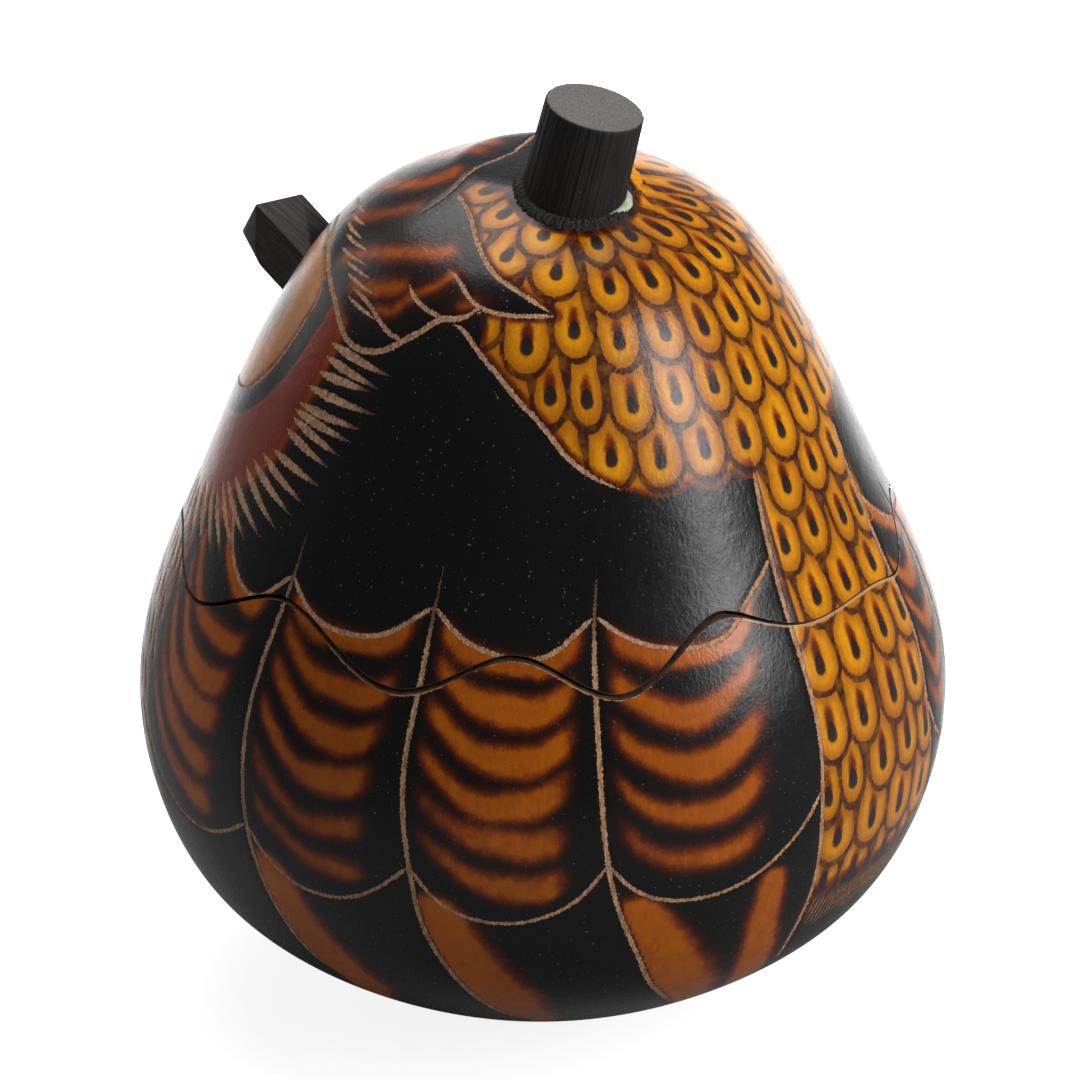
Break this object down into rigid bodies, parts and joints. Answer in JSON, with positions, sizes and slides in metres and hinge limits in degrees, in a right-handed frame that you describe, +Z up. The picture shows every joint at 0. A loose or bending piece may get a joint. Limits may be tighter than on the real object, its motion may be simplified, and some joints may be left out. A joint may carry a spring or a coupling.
{
  "type": "carved gourd box",
  "caption": "Lidded box made from a carved and burnt gourd in the shape of an owl, whose wavy-edged lid lifts straight off the bowl.",
  "frame": {"origin": "centre of the flat foot that the gourd stands on, on the gourd's axis", "axes": "+Z up along the gourd's axis, towards the stem; -Y the way the owl faces; +X the owl's left"},
  "size_m": [0.1018, 0.1018, 0.1224],
  "materials": {
    "carved_gourd": "gourd shell, carved, burnt black and orange, waxed to a satin sheen",
    "black_wood": "wood stained black, cut ends dull, grain showing",
    "glue": "dried glue, pale and slightly green"
  },
  "bodies": {
    "bowl": {"gourd_bowl": "carved_gourd"},
    "lid": {"gourd_lid": "carved_gourd", "stem_peg": "black_wood", "stem_glue": "glue", "beak_peg": "black_wood", "beak_glue": "glue"}
  },
  "joints": [
    {"name": "lid_lift", "type": "slide", "parent": "bowl", "child": "lid", "axis": [0, 0, 1], "range_m": [0, 0.06]}
  ]
}
